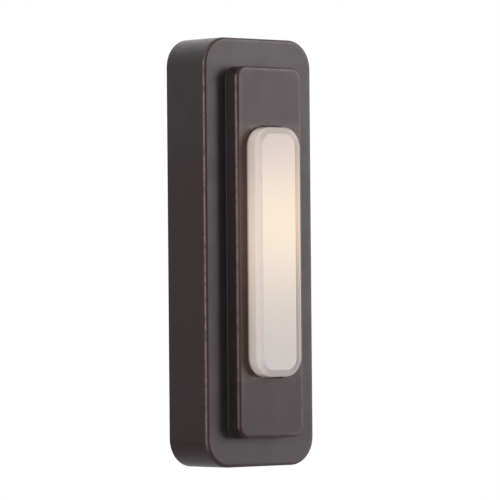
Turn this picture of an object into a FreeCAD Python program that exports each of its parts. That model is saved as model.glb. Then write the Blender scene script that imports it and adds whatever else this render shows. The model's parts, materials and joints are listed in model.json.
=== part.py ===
import FreeCAD, Part
import os
from math import cos, pi, sin
from types import SimpleNamespace

import Sketcher

# Doorbell push button for a wall.
# X runs to the right as seen from the front, +Z is up and the front faces -Y.
# The wall is the plane Y = 0 and the origin is the centre of the back face.
# A "depth" is the distance in front of the wall, so a point at depth d has Y = -d.

# Driving dimensions in millimetres
DIMENSIONS = {
    # outer tier of the housing
    "case_width": 35.0,
    "case_height": 105.0,
    "case_depth": 14.2,
    "case_corner": 7.0,
    "case_wall": 1.8,
    "edge_round": 0.8,
    # inner tier of the housing
    "tier_width": 21.3,
    "tier_rise": 4.1,
    "tier_corner": 3.0,
    "foot_bevel": 0.4,
    # translucent button
    "button_border": 3.3,
    "button_corner": 5.0,
    "button_proud": 2.9,
    "button_wall": 1.5,
    "button_face": 1.6,
    "button_travel": 0.8,
    "bevel_width": 1.8,
    "bevel_drop": 0.3,
    "window_gap": 0.25,
    "window_edge_bevel": 0.3,
    "flange_lip": 0.95,
    "flange_corner": 3.0,
    "flange_thickness": 1.5,
    "stop_gap": 0.05,
    # guide posts of the button and their return springs
    "post_radius": 1.5,
    "shoulder_radius": 3.0,
    "shoulder_drop": 0.2,
    "running_gap": 0.05,
    "spring_radius": 2.65,
    "spring_wire": 0.2,
    "spring_turns": 5.0,
    # striker that meets the switch
    "striker_radius": 1.6,
    "striker_rib": 1.2,
    # back plate
    "plate_thickness": 1.2,
    "plate_gap": 0.5,
    "plate_window_width": 19.0,
    "plate_window_corner": 3.0,
    "slot_width": 4.5,
    "slot_length": 8.0,
    "slot_corner": 2.24,
    "tab_width": 10.0,
    "tab_length": 8.0,
    "hook_width": 9.2,
    "hook_rise": 0.6,
    "hook_length": 1.2,
    "hook_gap": 0.2,
    # set screw through the bottom wall
    "set_screw_depth": 5.0,
    "set_screw_radius": 1.5,
    "set_screw_head": 2.7,
    "set_screw_head_height": 0.9,
    "set_screw_length": 4.0,
    "counterbore_depth": 1.0,
    "thread_gap": 0.05,
    "hole_gap": 0.2,
    # circuit board
    "board_depth": 5.9,
    "board_thickness": 1.6,
    "board_width": 17.0,
    "board_screw_radius": 1.0,
    "board_screw_head": 1.9,
    "board_screw_head_height": 1.2,
    # button carrier
    "carrier_side_gap": 2.7,
    "carrier_thickness": 2.0,
    "carrier_corner": 3.0,
    "carrier_window_width": 13.0,
    "collar_gap": 0.25,
    "collar_wall": 0.8,
    "collar_end_wall": 1.2,
    "sleeve_wall": 0.65,
    "sleeve_rise": 2.5,
    "carrier_screw_radius": 1.0,
    "carrier_screw_head": 1.9,
    "carrier_screw_head_height": 1.3,
    "carrier_screw_length": 5.0,
    "boss_radius": 2.5,
    # tactile switch
    "switch_side": 6.2,
    "switch_base_height": 3.2,
    "switch_cup_radius": 2.2,
    "switch_cup_depth": 2.0,
    "switch_sheet": 0.3,
    "switch_leg": 2.0,
    "plunger_radius": 1.65,
    "plunger_flange_radius": 1.95,
    "plunger_flange_height": 0.8,
    "plunger_height": 1.95,
    "dome_radius": 2.1,
    "dome_sheet": 0.1,
    "pin_width": 0.7,
    "pin_spacing": 4.5,
    "pin_foot": 1.0,
    "pin_riser": 0.8,
    # flat-topped lamp
    "lamp_radius": 1.5,
    "lamp_flange_radius": 1.9,
    "lamp_flange_height": 1.0,
    "lamp_height": 4.6,
    "lamp_standoff": 1.1,
    "lamp_lead": 0.5,
    "lamp_lead_spacing": 2.54,
    "solder_length": 0.8,
    # chip resistor and moulded diodes on the face of the board
    "resistor_length": 6.3,
    "resistor_width": 3.2,
    "resistor_height": 0.6,
    "resistor_cap": 0.6,
    "resistor_cap_sheet": 0.05,
    "diode_length": 4.3,
    "diode_width": 2.6,
    "diode_height": 2.2,
    "diode_draft": 0.3,
    "diode_tab_width": 1.4,
    "diode_tab_reach": 0.4,
    "diode_tab_height": 1.0,
    # wire terminals
    "terminal_width": 7.0,
    "terminal_sheet": 0.8,
    "terminal_ear": 1.2,
    "terminal_across": 4.2,
    "terminal_collar": 2.1,
    "terminal_collar_length": 2.0,
    "terminal_screw_radius": 1.5,
    "terminal_screw_head": 2.5,
    "terminal_screw_head_height": 1.6,
    "terminal_screw_length": 3.9,
    # screw driver slots
    "driver_slot_width": 0.7,
    "driver_slot_depth": 0.6,
}

# Lengths and places along the height, as shares of the case height
SHARES = {
    "tier_height": 90 / 105,
    "button_height": 61 / 105,
    "flange_height": 64 / 105,
    "post_spacing": 51 / 105,
    "plate_window_height": 46 / 105,
    "slot_spacing": 70 / 105,
    "board_height": 45.6 / 105,
    "board_screw_spacing": 40.4 / 105,
    "carrier_height": 84 / 105,
    "carrier_window_height": 35 / 105,
    "collar_height": 65 / 105,
    "carrier_screw_spacing": 76 / 105,
    "lamp_place": 6.5 / 105,
    "resistor_place": 12.2 / 105,
    "diode_place": -6.8 / 105,
    "diode_spacing": 22.6 / 105,
    "terminal_place": -13.5 / 105,
    "terminal_height": 8 / 105,
}

# How finely a spring is wound, and its closed turns at each end
SPRING_STEPS = 8
SPRING_SIDES = 6
CLOSED_TURNS = 1

# How near two places count as the same, in millimetres
TOLERANCE = 1e-4

doc = FreeCAD.newDocument("doorbell_push_button")


class Length:
    """A size that knows its number and the sheet formula that drives it."""

    def __init__(self, value, formula):
        self.value = value
        self.formula = formula

    def joined(self, other, sign, value):
        return Length(value, "(" + self.formula + sign + other.formula + ")")

    def __add__(self, other):
        other = as_length(other)
        return self.joined(other, " + ", self.value + other.value)

    def __sub__(self, other):
        other = as_length(other)
        return self.joined(other, " - ", self.value - other.value)

    def __mul__(self, other):
        other = as_length(other)
        return self.joined(other, " * ", self.value * other.value)

    def __truediv__(self, other):
        other = as_length(other)
        return self.joined(other, " / ", self.value / other.value)

    def __neg__(self):
        return Length(-self.value, "(-1 * " + self.formula + ")")


def as_length(number):
    if isinstance(number, Length):
        return number
    return Length(float(number), str(number))


ZERO = as_length(0)


def dimension_sheet():
    """Write the driving dimensions to the sheet and return them by name."""
    sheet = doc.addObject("Spreadsheet::Sheet", "Sizes")
    sizes = SimpleNamespace()
    for row, (name, value) in enumerate(DIMENSIONS.items(), start=1):
        sheet.set(f"A{row}", name)
        sheet.set(f"B{row}", str(value))
        sheet.setAlias(f"B{row}", name)
        setattr(sizes, name, Length(value, "Sizes." + name))
    for row, (name, share) in enumerate(SHARES.items(), start=len(DIMENSIONS) + 1):
        sheet.set(f"A{row}", name)
        sheet.set(f"B{row}", f"=case_height * {share}")
        sheet.setAlias(f"B{row}", name)
        setattr(sizes, name, Length(DIMENSIONS["case_height"] * share, "Sizes." + name))
    doc.recompute()
    return sizes


size = dimension_sheet()

# Depths shared by the pieces that stack up from the wall
tier_front = size.case_depth + size.tier_rise
tier_inside = tier_front - size.case_wall
case_inside = size.case_depth - size.case_wall
shoulder_edge = tier_front + size.button_proud
button_front = shoulder_edge + size.bevel_drop
button_inside = button_front - size.button_face
flange_front = tier_inside - size.stop_gap
flange_back = flange_front - size.flange_thickness
board_front = size.board_depth + size.board_thickness
carrier_front = board_front + size.carrier_thickness
collar_front = flange_back - size.button_travel - size.stop_gap
sleeve_front = carrier_front + size.sleeve_rise
post_back = board_front + size.button_travel + size.stop_gap
spring_front = flange_back + size.shoulder_drop
switch_front = board_front + size.switch_base_height
cup_floor = switch_front - size.switch_cup_depth
plunger_front = switch_front + size.switch_sheet + size.plunger_height
plunger_shoulder = switch_front - size.stop_gap
plunger_back = plunger_shoulder - size.plunger_flange_height
striker_back = plunger_front + size.stop_gap
lamp_back = board_front + size.lamp_standoff
solder_back = size.board_depth - size.solder_length
terminal_back = size.board_depth - size.terminal_sheet

# Outlines that fit into or through each other
cavity_width = size.case_width - size.case_wall * 2
cavity_height = size.case_height - size.case_wall * 2
tier_cavity_width = size.tier_width - size.case_wall * 2
tier_cavity_height = size.tier_height - size.case_wall * 2
button_width = size.tier_width - size.button_border * 2
window_width = button_width + size.window_gap * 2
window_height = size.button_height + size.window_gap * 2
window_corner = size.button_corner + size.window_gap
plate_width = cavity_width - size.plate_gap * 2
plate_height = cavity_height - size.plate_gap * 2
flange_width = button_width + size.flange_lip * 2
carrier_width = cavity_width - size.carrier_side_gap * 2
hollow_width = button_width - size.button_wall * 2
hollow_height = size.button_height - size.button_wall * 2
post_bore = size.post_radius + size.running_gap
sleeve_radius = post_bore + size.sleeve_wall


# Sketches

def origin_item(body, role):
    for item in body.Origin.OriginFeatures:
        if item.Role == role:
            return item
    raise RuntimeError("no origin item " + role)


def bind(target, path, length):
    target.setExpression(path, length.formula)


def new_sketch(body, name, role, offset):
    sketch = body.newObject("Sketcher::SketchObject", name)
    sketch.AttachmentSupport = [(origin_item(body, role), "")]
    sketch.MapMode = "FlatFace"
    for axis, length in zip("xyz", offset):
        bind(sketch, "AttachmentOffset.Base." + axis, length)
    return sketch


def front_sketch(body, name, depth, x=ZERO, z=ZERO):
    """A sketch drawn as seen from the front, at a depth in front of the wall."""
    return new_sketch(body, name, "XZ_Plane", (x, z, depth))


def level_sketch(body, name, z, x=ZERO, depth=ZERO):
    """A sketch drawn as seen from above, at a height; its own y axis points at the wall."""
    return new_sketch(body, name, "XY_Plane", (x, -depth, z))


def dimension(sketch, name, kind, places, length):
    index = sketch.addConstraint(Sketcher.Constraint(kind, *places, length.value))
    sketch.renameConstraint(index, name)
    bind(sketch, "Constraints." + name, length)


def place_point(sketch, name, geometry, point, x, y):
    """Tie a point to the sketch's own axes, or to distances from its origin."""
    if x is ZERO:
        sketch.addConstraint(Sketcher.Constraint("PointOnObject", geometry, point, -2))
    else:
        dimension(sketch, name + "_across", "DistanceX", (-1, 1, geometry, point), x)
    if y is ZERO:
        sketch.addConstraint(Sketcher.Constraint("PointOnObject", geometry, point, -1))
    else:
        dimension(sketch, name + "_along", "DistanceY", (-1, 1, geometry, point), y)


def circle(sketch, radius, x=ZERO, y=ZERO):
    number = sketch.GeometryCount
    centre = FreeCAD.Vector(x.value, y.value, 0)
    geometry = sketch.addGeometry(Part.Circle(centre, FreeCAD.Vector(0, 0, 1), radius.value))
    dimension(sketch, f"circle{number}_radius", "Radius", (geometry,), radius)
    place_point(sketch, f"circle{number}", geometry, 3, x, y)


def polygon(sketch, points):
    """A closed outline through points, each of them tied to the sketch's origin."""
    corners = [FreeCAD.Vector(x.value, y.value, 0) for x, y in points]
    count = len(corners)
    lines = []
    for index in range(count):
        start = corners[index]
        end = corners[(index + 1) % count]
        lines.append(sketch.addGeometry(Part.LineSegment(start, end)))
    for index in range(count):
        following = lines[(index + 1) % count]
        sketch.addConstraint(Sketcher.Constraint("Coincident", lines[index], 2, following, 1))
    for index, (x, y) in enumerate(points):
        place_point(sketch, f"corner{index}", lines[index], 1, x, y)


def rectangle(sketch, width, height):
    """A rectangle centred on the sketch's origin."""
    across = width / 2
    up = height / 2
    polygon(sketch, [(-across, -up), (across, -up), (across, up), (-across, up)])


def rounded_rectangle(sketch, width, height, corner):
    """A rectangle with round corners, centred on the sketch's origin."""
    x = width.value / 2
    y = height.value / 2
    r = corner.value
    sides = [
        ((r - x, -y), (x - r, -y)),
        ((x, r - y), (x, y - r)),
        ((x - r, y), (r - x, y)),
        ((-x, y - r), (-x, r - y)),
    ]
    lines = []
    for start, end in sides:
        segment = Part.LineSegment(FreeCAD.Vector(*start, 0), FreeCAD.Vector(*end, 0))
        lines.append(sketch.addGeometry(segment))
    centres = [(x - r, r - y), (x - r, y - r), (r - x, y - r), (r - x, r - y)]
    arcs = []
    for quarter, centre in enumerate(centres):
        whole = Part.Circle(FreeCAD.Vector(*centre, 0), FreeCAD.Vector(0, 0, 1), r)
        start_angle = (quarter - 1) * pi / 2
        arcs.append(sketch.addGeometry(Part.ArcOfCircle(whole, start_angle, start_angle + pi / 2)))
    for index in range(4):
        following = lines[(index + 1) % 4]
        sketch.addConstraint(Sketcher.Constraint("Tangent", lines[index], 2, arcs[index], 1))
        sketch.addConstraint(Sketcher.Constraint("Tangent", arcs[index], 2, following, 1))
    for index in (0, 2):
        sketch.addConstraint(Sketcher.Constraint("Horizontal", lines[index]))
        sketch.addConstraint(Sketcher.Constraint("Vertical", lines[index + 1]))
    for arc in arcs[1:]:
        sketch.addConstraint(Sketcher.Constraint("Equal", arcs[0], arc))
    sketch.addConstraint(Sketcher.Constraint("Symmetric", lines[0], 1, lines[2], 1, -1, 1))
    dimension(sketch, "outline_width", "DistanceX", (lines[3], 1, lines[1], 1), width)
    dimension(sketch, "outline_height", "DistanceY", (lines[0], 1, lines[2], 1), height)
    dimension(sketch, "outline_corner", "Radius", (arcs[0],), corner)


# Features

def new_body(name):
    body = doc.addObject("PartDesign::Body", name)
    body.Label = name
    return body


def pad(body, name, sketch, length):
    """Material from the sketch, forward or up."""
    feature = body.newObject("PartDesign::Pad", name)
    feature.Profile = sketch
    bind(feature, "Length", length)
    return feature


def pocket(body, name, sketch, length):
    """A cut from the sketch, forward or up."""
    feature = body.newObject("PartDesign::Pocket", name)
    feature.Profile = sketch
    feature.Reversed = True
    bind(feature, "Length", length)
    return feature


def block(body, name, width, height, depth, length, x=ZERO, z=ZERO):
    sketch = front_sketch(body, name + "_outline", depth, x, z)
    rectangle(sketch, width, height)
    return pad(body, name, sketch, length)


def rounded_block(body, name, width, height, corner, depth, length):
    sketch = front_sketch(body, name + "_outline", depth)
    rounded_rectangle(sketch, width, height, corner)
    return pad(body, name, sketch, length)


def rounded_pocket(body, name, width, height, corner, depth, length, z=ZERO):
    sketch = front_sketch(body, name + "_outline", depth, ZERO, z)
    rounded_rectangle(sketch, width, height, corner)
    return pocket(body, name, sketch, length)


def opening(body, name, width, height, depth, length):
    sketch = front_sketch(body, name + "_outline", depth)
    rectangle(sketch, width, height)
    return pocket(body, name, sketch, length)


def stud(body, name, radius, depth, length, x=ZERO, z=ZERO):
    sketch = front_sketch(body, name + "_outline", depth, x, z)
    circle(sketch, radius)
    return pad(body, name, sketch, length)


def drilling(body, name, radius, depth, length, x=ZERO, z=ZERO):
    sketch = front_sketch(body, name + "_outline", depth, x, z)
    circle(sketch, radius)
    return pocket(body, name, sketch, length)


def turned(body, name, sketch, axis="V_Axis"):
    feature = body.newObject("PartDesign::Revolution", name)
    feature.Profile = sketch
    feature.ReferenceAxis = (sketch, [axis])
    feature.Angle = 360
    return feature


def mirrored(body, name, originals, roles):
    """Repeat features across one or two of the body's own planes."""
    pattern = body.newObject("PartDesign::MultiTransform", name)
    pattern.Originals = originals
    steps = []
    for role in roles:
        step = body.newObject("PartDesign::Mirrored", name + "_" + role)
        step.MirrorPlane = (origin_item(body, role), [""])
        steps.append(step)
    pattern.Transformations = steps
    body.Tip = pattern
    return pattern


def edges_at(shape, depth, inside=None, outside=None):
    """Names of the edges in the plane at a depth, by their place about an outline."""
    found = []
    for number, edge in enumerate(shape.Edges, start=1):
        flat = all(abs(vertex.Y + depth.value) < TOLERANCE for vertex in edge.Vertexes)
        middle = edge.valueAt((edge.FirstParameter + edge.LastParameter) / 2)
        if not flat or abs(middle.y + depth.value) > TOLERANCE:
            continue
        if inside and not within(middle, inside):
            continue
        if outside and within(middle, outside):
            continue
        found.append(f"Edge{number}")
    return found


def within(point, outline):
    width, height = outline
    beside = abs(point.x) < width.value / 2 + TOLERANCE
    level = abs(point.z) < height.value / 2 + TOLERANCE
    return beside and level


def rounded_edges(body, name, base, edges, radius):
    feature = body.newObject("PartDesign::Fillet", name)
    feature.Base = (base, edges)
    bind(feature, "Radius", radius)
    doc.recompute()
    return feature


def bevelled_edges(body, name, base, edges, width):
    feature = body.newObject("PartDesign::Chamfer", name)
    feature.Base = (base, edges)
    bind(feature, "Size", width)
    doc.recompute()
    return feature


# Housing

def make_tiered_housing():
    body = new_body("tiered_housing")
    rounded_block(body, "outer_tier", size.case_width, size.case_height,
                  size.case_corner, ZERO, size.case_depth)
    tiers = rounded_block(body, "inner_tier", size.tier_width, size.tier_height,
                          size.tier_corner, size.case_depth, size.tier_rise)
    doc.recompute()
    tier_outline = (size.tier_width, size.tier_height)
    front_edges = edges_at(tiers.Shape, tier_front)
    front_edges += edges_at(tiers.Shape, size.case_depth, outside=tier_outline)
    worn = rounded_edges(body, "worn_edges", tiers, front_edges, size.edge_round)
    foot_edges = edges_at(worn.Shape, size.case_depth, inside=tier_outline)
    bevelled_edges(body, "tier_foot", worn, foot_edges, size.foot_bevel)

    rounded_pocket(body, "outer_cavity", cavity_width, cavity_height,
                   size.case_corner - size.case_wall, ZERO, case_inside)
    rounded_pocket(body, "inner_cavity", tier_cavity_width, tier_cavity_height,
                   size.tier_corner - size.case_wall, ZERO, tier_inside)
    window = rounded_pocket(body, "button_window", window_width, window_height,
                            window_corner, ZERO, tier_front)
    doc.recompute()
    window_edges = edges_at(window.Shape, tier_front, inside=(window_width, window_height))
    bevelled_edges(body, "window_edge", window, window_edges, size.window_edge_bevel)

    up = size.carrier_screw_spacing / 2
    boss = stud(body, "screw_boss", size.boss_radius, carrier_front,
                tier_inside - carrier_front, ZERO, up)
    pilot_depth = size.carrier_screw_length - size.carrier_thickness + size.hole_gap * 2
    pilot = drilling(body, "boss_pilot", size.carrier_screw_radius, carrier_front,
                     pilot_depth, ZERO, up)
    mirrored(body, "screw_bosses", [boss, pilot], ["XY_Plane"])

    hook_slot = level_sketch(body, "hook_slot_outline", plate_height / 2,
                             ZERO, size.tab_length - size.hook_length / 2)
    rectangle(hook_slot, size.hook_width + size.hook_gap * 2,
              size.hook_length + size.hook_gap * 2)
    slot_rise = size.plate_gap + size.hook_rise + size.hook_gap
    pocket(body, "hook_slot", hook_slot, slot_rise)

    bottom = -(size.case_height / 2)
    screw_hole = level_sketch(body, "set_screw_hole_outline", bottom, ZERO, size.set_screw_depth)
    circle(screw_hole, size.set_screw_radius + size.hole_gap)
    pocket(body, "set_screw_hole", screw_hole, size.case_wall)
    counterbore = level_sketch(body, "counterbore_outline", bottom, ZERO, size.set_screw_depth)
    circle(counterbore, size.set_screw_head + size.hole_gap)
    pocket(body, "counterbore", counterbore, size.counterbore_depth)
    return body


# Button

def make_push_button():
    body = new_body("push_button")
    rounded_block(body, "button_block", button_width, size.button_height,
                  size.button_corner, flange_back, button_front - flange_back)
    block_and_flange = rounded_block(body, "flange", flange_width, size.flange_height,
                                     size.flange_corner, flange_back, size.flange_thickness)
    doc.recompute()
    bevel = body.newObject("PartDesign::Chamfer", "face_bevel")
    bevel.Base = (block_and_flange, edges_at(block_and_flange.Shape, button_front))
    bevel.ChamferType = "Two distances"
    bind(bevel, "Size", size.bevel_width)
    bind(bevel, "Size2", size.bevel_drop)
    doc.recompute()
    if not edges_at(bevel.Shape, shoulder_edge):
        bevel.FlipDirection = True

    rounded_pocket(body, "button_hollow", hollow_width, hollow_height,
                   size.button_corner - size.button_wall, flange_back,
                   button_inside - flange_back)
    post_place = size.post_spacing / 2
    post = stud(body, "guide_post", size.post_radius, post_back,
                button_inside - post_back, ZERO, post_place)
    shoulder = stud(body, "spring_shoulder", size.shoulder_radius, spring_front,
                    button_inside - spring_front, ZERO, post_place)
    mirrored(body, "guide_posts", [post, shoulder], ["XY_Plane"])
    block(body, "striker_rib", hollow_width, size.striker_rib, spring_front,
          button_inside - spring_front)
    stud(body, "striker", size.striker_radius, striker_back, button_inside - striker_back)
    return body


# Carrier and its screws

def make_button_carrier():
    body = new_body("button_carrier")
    rounded_block(body, "carrier_plate", carrier_width, size.carrier_height,
                  size.carrier_corner, board_front, size.carrier_thickness)
    collar_width = tier_cavity_width - size.collar_gap * 2
    collar_corner = size.tier_corner - size.case_wall
    rounded_block(body, "guide_collar", collar_width, size.collar_height,
                  collar_corner, carrier_front, collar_front - carrier_front)
    opening(body, "collar_inside", collar_width - size.collar_wall * 2,
            size.collar_height - size.collar_end_wall * 2, carrier_front,
            collar_front - carrier_front)
    opening(body, "board_window", size.carrier_window_width, size.carrier_window_height,
            board_front, size.carrier_thickness)

    post_place = size.post_spacing / 2
    sleeve = stud(body, "post_sleeve", sleeve_radius, carrier_front, size.sleeve_rise,
                  ZERO, post_place)
    bore = drilling(body, "post_bore", post_bore, board_front,
                    sleeve_front - board_front, ZERO, post_place)
    board_pilot = drilling(body, "board_pilot", size.board_screw_radius, board_front,
                           size.carrier_thickness, ZERO, size.board_screw_spacing / 2)
    screw_hole = drilling(body, "screw_hole", size.carrier_screw_radius + size.hole_gap,
                          board_front, size.carrier_thickness, ZERO,
                          size.carrier_screw_spacing / 2)
    mirrored(body, "carrier_ends", [sleeve, bore, board_pilot, screw_hole], ["XY_Plane"])
    return body


def make_screw(body, seat, head_radius, head_height, shank_radius, shank_length, x, z):
    """One cheese-head screw driven forward, its head behind the seat."""
    outline = level_sketch(body, "screw_outline", z, x, seat)
    polygon(outline, [
        (ZERO, head_height),
        (head_radius, head_height),
        (head_radius, ZERO),
        (shank_radius, ZERO),
        (shank_radius, -shank_length),
        (ZERO, -shank_length),
    ])
    screw = turned(body, "screw", outline)
    groove = front_sketch(body, "driver_slot_outline", seat - head_height, x, z)
    rectangle(groove, head_radius * 2 + size.hole_gap, size.driver_slot_width)
    return [screw, pocket(body, "driver_slot", groove, size.driver_slot_depth)]


def make_carrier_screws():
    body = new_body("carrier_screws")
    screw = make_screw(body, board_front, size.carrier_screw_head,
                       size.carrier_screw_head_height,
                       size.carrier_screw_radius - size.thread_gap,
                       size.carrier_screw_length, ZERO, size.carrier_screw_spacing / 2)
    mirrored(body, "two_screws", screw, ["XY_Plane"])
    return body


def make_board_screws():
    body = new_body("board_screws")
    length = size.board_thickness + size.carrier_thickness - size.hole_gap
    screw = make_screw(body, size.board_depth, size.board_screw_head,
                       size.board_screw_head_height,
                       size.board_screw_radius - size.thread_gap,
                       length, ZERO, size.board_screw_spacing / 2)
    mirrored(body, "two_screws", screw, ["XY_Plane"])
    return body


# Circuit board and what is on it

def board_holes(body, name, radius, places):
    sketch = front_sketch(body, name + "_outline", size.board_depth)
    for x, z in places:
        circle(sketch, radius, x, z)
    return pocket(body, name, sketch, size.board_thickness)


def make_circuit_board():
    body = new_body("circuit_board")
    block(body, "board", size.board_width, size.board_height, size.board_depth,
          size.board_thickness)
    up = size.board_screw_spacing / 2
    board_holes(body, "screw_holes", size.board_screw_radius + size.hole_gap,
                [(ZERO, up), (ZERO, -up)])
    board_holes(body, "terminal_holes", size.terminal_collar + size.running_gap,
                [(-size.terminal_across, size.terminal_place),
                 (size.terminal_across, size.terminal_place)])
    lead_across = size.lamp_lead_spacing / 2
    board_holes(body, "lamp_holes", size.lamp_lead / 2 + size.hole_gap,
                [(-lead_across, size.lamp_place), (lead_across, size.lamp_place)])
    return body


def make_switch_base():
    body = new_body("switch_base")
    block(body, "cup", size.switch_side, size.switch_side, board_front,
          size.switch_base_height)
    drilling(body, "cup_inside", size.switch_cup_radius, cup_floor, size.switch_cup_depth)
    return body


def make_switch_cover():
    body = new_body("switch_cover")
    cover_height = size.switch_side + size.switch_sheet * 2
    block(body, "cover_sheet", size.switch_side, cover_height, switch_front,
          size.switch_sheet)
    leg_place = (size.switch_side + size.switch_sheet) / 2
    leg = block(body, "cover_leg", size.switch_side / 2, size.switch_sheet,
                switch_front - size.switch_leg, size.switch_leg, ZERO, leg_place)
    mirrored(body, "cover_legs", [leg], ["XY_Plane"])
    drilling(body, "plunger_hole", size.plunger_radius + size.running_gap, switch_front,
             size.switch_sheet)
    return body


def make_switch_plunger():
    body = new_body("switch_plunger")
    outline = level_sketch(body, "plunger_outline", ZERO)
    polygon(outline, [
        (ZERO, -plunger_back),
        (size.plunger_flange_radius, -plunger_back),
        (size.plunger_flange_radius, -plunger_shoulder),
        (size.plunger_radius, -plunger_shoulder),
        (size.plunger_radius, -plunger_front),
        (ZERO, -plunger_front),
    ])
    turned(body, "plunger", outline)
    return body


def make_switch_dome():
    """A snap dome: a thin dished disc with a flat crown, standing on its rim."""
    body = new_body("switch_dome")
    outline = level_sketch(body, "dome_outline", ZERO)
    crown = plunger_back - size.stop_gap
    crown_radius = size.dome_radius / 2
    polygon(outline, [
        (ZERO, -crown),
        (crown_radius, -crown),
        (size.dome_radius, -cup_floor),
        (size.dome_radius - size.dome_sheet * 2, -cup_floor),
        (crown_radius - size.dome_sheet / 2, size.dome_sheet - crown),
        (ZERO, size.dome_sheet - crown),
    ])
    turned(body, "dome", outline)
    return body


def make_switch_pins():
    """Four bent pins: a riser on the side of the cup and a foot soldered to the board."""
    body = new_body("switch_pins")
    up = size.pin_spacing / 2
    riser_across = (size.switch_side + size.switch_sheet) / 2
    riser = block(body, "riser", size.switch_sheet, size.pin_width, board_front,
                  size.pin_riser, riser_across, up)
    foot_across = (size.switch_side + size.pin_foot) / 2
    foot = block(body, "foot", size.pin_foot, size.pin_width, board_front,
                 size.switch_sheet, foot_across, up)
    mirrored(body, "four_pins", [riser, foot], ["YZ_Plane", "XY_Plane"])
    return body


def make_led_lamp():
    body = new_body("led_lamp")
    outline = level_sketch(body, "lamp_outline", size.lamp_place)
    lamp_front = lamp_back + size.lamp_height
    flange = lamp_back + size.lamp_flange_height
    polygon(outline, [
        (ZERO, -lamp_back),
        (size.lamp_flange_radius, -lamp_back),
        (size.lamp_flange_radius, -flange),
        (size.lamp_radius, -flange),
        (size.lamp_radius, -lamp_front),
        (ZERO, -lamp_front),
    ])
    turned(body, "lamp", outline)
    return body


def make_led_leads():
    body = new_body("led_leads")
    lead = block(body, "lead", size.lamp_lead, size.lamp_lead, solder_back,
                 lamp_back - solder_back, size.lamp_lead_spacing / 2, size.lamp_place)
    mirrored(body, "two_leads", [lead], ["YZ_Plane"])
    return body


def make_led_resistor():
    """A flat chip with a plated cap over each end."""
    body = new_body("led_resistor")
    block(body, "chip", size.resistor_length - size.resistor_cap, size.resistor_width,
          board_front + size.resistor_cap_sheet,
          size.resistor_height - size.resistor_cap_sheet * 2, ZERO, size.resistor_place)
    cap_across = (size.resistor_length - size.resistor_cap) / 2
    cap = block(body, "cap", size.resistor_cap,
                size.resistor_width + size.resistor_cap_sheet * 2, board_front,
                size.resistor_height, cap_across, size.resistor_place)
    mirrored(body, "caps", [cap], ["YZ_Plane"])
    return body


def make_rectifier_diodes():
    """Two moulded bodies with tapered ends, each on a pair of folded tabs."""
    body = new_body("rectifier_diodes")
    outline = level_sketch(body, "case_outline", size.diode_place - size.diode_width / 2,
                           ZERO, board_front)
    back = -size.diode_draft
    front = -size.diode_height
    waist = size.diode_length / 2
    end = waist - size.diode_draft
    polygon(outline, [
        (-end, back),
        (-waist, -size.diode_tab_height),
        (-end, front),
        (end, front),
        (waist, -size.diode_tab_height),
        (end, back),
    ])
    case = pad(body, "case", outline, size.diode_width)
    reach = size.diode_length + size.diode_tab_reach * 2
    tabs = block(body, "tabs", reach, size.diode_tab_width, board_front,
                 size.diode_tab_height, ZERO, size.diode_place)
    pattern = body.newObject("PartDesign::LinearPattern", "two_diodes")
    pattern.Originals = [case, tabs]
    pattern.Direction = (origin_item(body, "Z_Axis"), [""])
    pattern.Occurrences = 2
    bind(pattern, "Length", size.diode_spacing)
    body.Tip = pattern
    return body


# Wire terminals

def make_terminal_plate(name, side):
    """A brass plate with an outer ear and a threaded collar staked through the board."""
    body = new_body(name)
    across = size.terminal_across * side
    block(body, "plate", size.terminal_width, size.terminal_height, terminal_back,
          size.terminal_sheet, across, size.terminal_place)
    ear_across = (size.terminal_across + (size.terminal_width - size.terminal_sheet) / 2) * side
    block(body, "ear", size.terminal_sheet, size.terminal_height,
          terminal_back - size.terminal_ear, size.terminal_ear, ear_across,
          size.terminal_place)
    stud(body, "collar", size.terminal_collar, size.board_depth,
         size.terminal_collar_length, across, size.terminal_place)
    drilling(body, "thread", size.terminal_screw_radius, terminal_back,
             size.terminal_sheet + size.terminal_collar_length, across, size.terminal_place)
    return body


def make_terminal_screws():
    body = new_body("terminal_screws")
    screw = make_screw(body, terminal_back, size.terminal_screw_head,
                       size.terminal_screw_head_height,
                       size.terminal_screw_radius - size.thread_gap,
                       size.terminal_screw_length, size.terminal_across,
                       size.terminal_place)
    mirrored(body, "two_screws", screw, ["YZ_Plane"])
    return body


# Return springs

def make_return_spring(name, side):
    """A coil round a guide post, closed at both ends, wound from short straight chords."""
    wire = size.spring_wire.value
    radius = size.spring_radius.value
    seat = carrier_front.value + size.stop_gap.value + wire
    top = spring_front.value - size.stop_gap.value - wire
    turns = size.spring_turns.value
    closed_pitch = 2 * wire + size.stop_gap.value
    open_pitch = (top - seat - 2 * CLOSED_TURNS * closed_pitch) / (turns - 2 * CLOSED_TURNS)
    steps = int(round(turns * SPRING_STEPS))
    depth = seat
    points = []
    for step in range(steps + 1):
        angle = 2 * pi * step / SPRING_STEPS
        points.append(FreeCAD.Vector(radius * cos(angle), -depth, radius * sin(angle)))
        turn = step / SPRING_STEPS
        closed = turn < CLOSED_TURNS or turn >= turns - CLOSED_TURNS
        depth += (closed_pitch if closed else open_pitch) / SPRING_STEPS
    along = (points[1] - points[0]).normalize()
    out = along.cross(FreeCAD.Vector(0, 1, 0)).normalize()
    over = along.cross(out)
    section = []
    for corner in range(SPRING_SIDES + 1):
        angle = 2 * pi * corner / SPRING_SIDES
        section.append(points[0] + out * (wire * cos(angle)) + over * (wire * sin(angle)))
    coil = Part.makePolygon(points).makePipeShell([Part.makePolygon(section)], True, True, 1)
    spring = doc.addObject("Part::Feature", name)
    spring.Shape = coil
    spring.Label = name
    place = size.post_spacing.value / 2 * side
    spring.Placement = FreeCAD.Placement(FreeCAD.Vector(0, 0, place), FreeCAD.Rotation())
    return spring


# Back plate and set screw

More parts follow.
